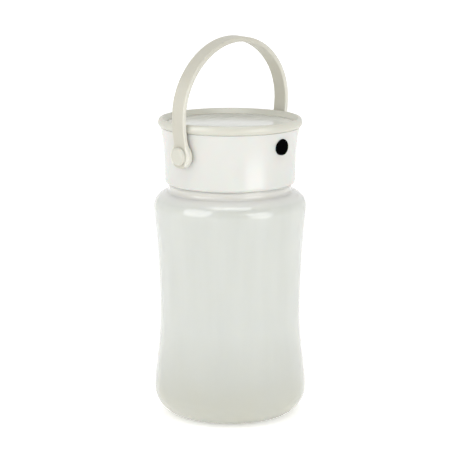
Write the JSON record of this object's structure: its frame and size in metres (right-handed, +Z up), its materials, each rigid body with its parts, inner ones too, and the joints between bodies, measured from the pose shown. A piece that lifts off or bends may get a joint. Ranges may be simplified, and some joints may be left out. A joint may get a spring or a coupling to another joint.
{
  "type": "bottle lantern",
  "caption": "Portable solar lantern: frosted bottle-shaped diffuser with a screw cap that holds the lamp, cells and panel, a push button and a swinging strap bail.",
  "frame": {"origin": "centre of the bottle's base, on the surface that it stands on", "axes": "+Z up along the bottle, +X along the bail's pivot axis, -Y towards the push button"},
  "size_m": [0.103, 0.1002, 0.2498],
  "materials": {
    "frosted_plastic": "frosted",
    "white_plastic": "satin gloss",
    "cream_plastic": "satin",
    "cream_strap": "matt silicone",
    "clear_cover": "gloss",
    "black_rubber": "matt",
    "seal_silicone": "matt",
    "solar_cell": "satin",
    "panel_board": "satin",
    "circuit_board": "satin",
    "lamp_board": "satin",
    "led": "gloss",
    "cell_sleeve": "gloss",
    "dark_plastic": "matt",
    "steel": "plated",
    "wire_sleeve": "satin"
  },
  "bodies": {
    "bottle": {"bottle": "frosted_plastic"},
    "seal": {"neck_seal": "seal_silicone"},
    "cap": {"cap_shell": "white_plastic", "rim_ring": "cream_plastic", "window": "clear_cover", "window_gasket": "seal_silicone", "solar_panel": "panel_board", "solar_cells": "solar_cell", "light_cover": "frosted_plastic", "cover_screws": "steel", "reflector": "white_plastic", "led_board": "lamp_board", "leds": "led", "battery_holder": "dark_plastic", "battery_cells": "cell_sleeve", "battery_contacts": "steel", "holder_screws": "steel", "control_board": "circuit_board", "board_parts": "dark_plastic", "switch_body": "dark_plastic", "left_stud": "cream_plastic", "right_stud": "cream_plastic", "stud_clips": "steel", "panel_leads": "wire_sleeve", "battery_leads": "wire_sleeve", "lamp_leads": "wire_sleeve"},
    "button": {"power_button": "black_rubber", "switch_plunger": "dark_plastic"},
    "bail": {"handle": "cream_strap"}
  },
  "joints": [
    {"name": "cap_lift", "type": "slide", "parent": "bottle", "child": "seal", "axis": [0, 0, 1], "range_m": [0, 0.00267]},
    {"name": "cap_turn", "type": "hinge", "parent": "seal", "child": "cap", "pos_m": [0, 0, 0.17], "axis": [0, 0, 1], "range_deg": [0, 80]},
    {"name": "button_press", "type": "slide", "parent": "cap", "child": "button", "axis": [0, 1, 0], "range_m": [0, 0.0006], "stiffness_N_per_m": 1500},
    {"name": "bail_swing", "type": "hinge", "parent": "cap", "child": "bail", "pos_m": [0, 0, 0.1766], "axis": [1, 0, 0], "range_deg": [-132, 127]}
  ],
  "couplings": [
    {"joint": "cap_lift", "follows": "cap_turn", "m_per_rad": 0.0019099}
  ]
}
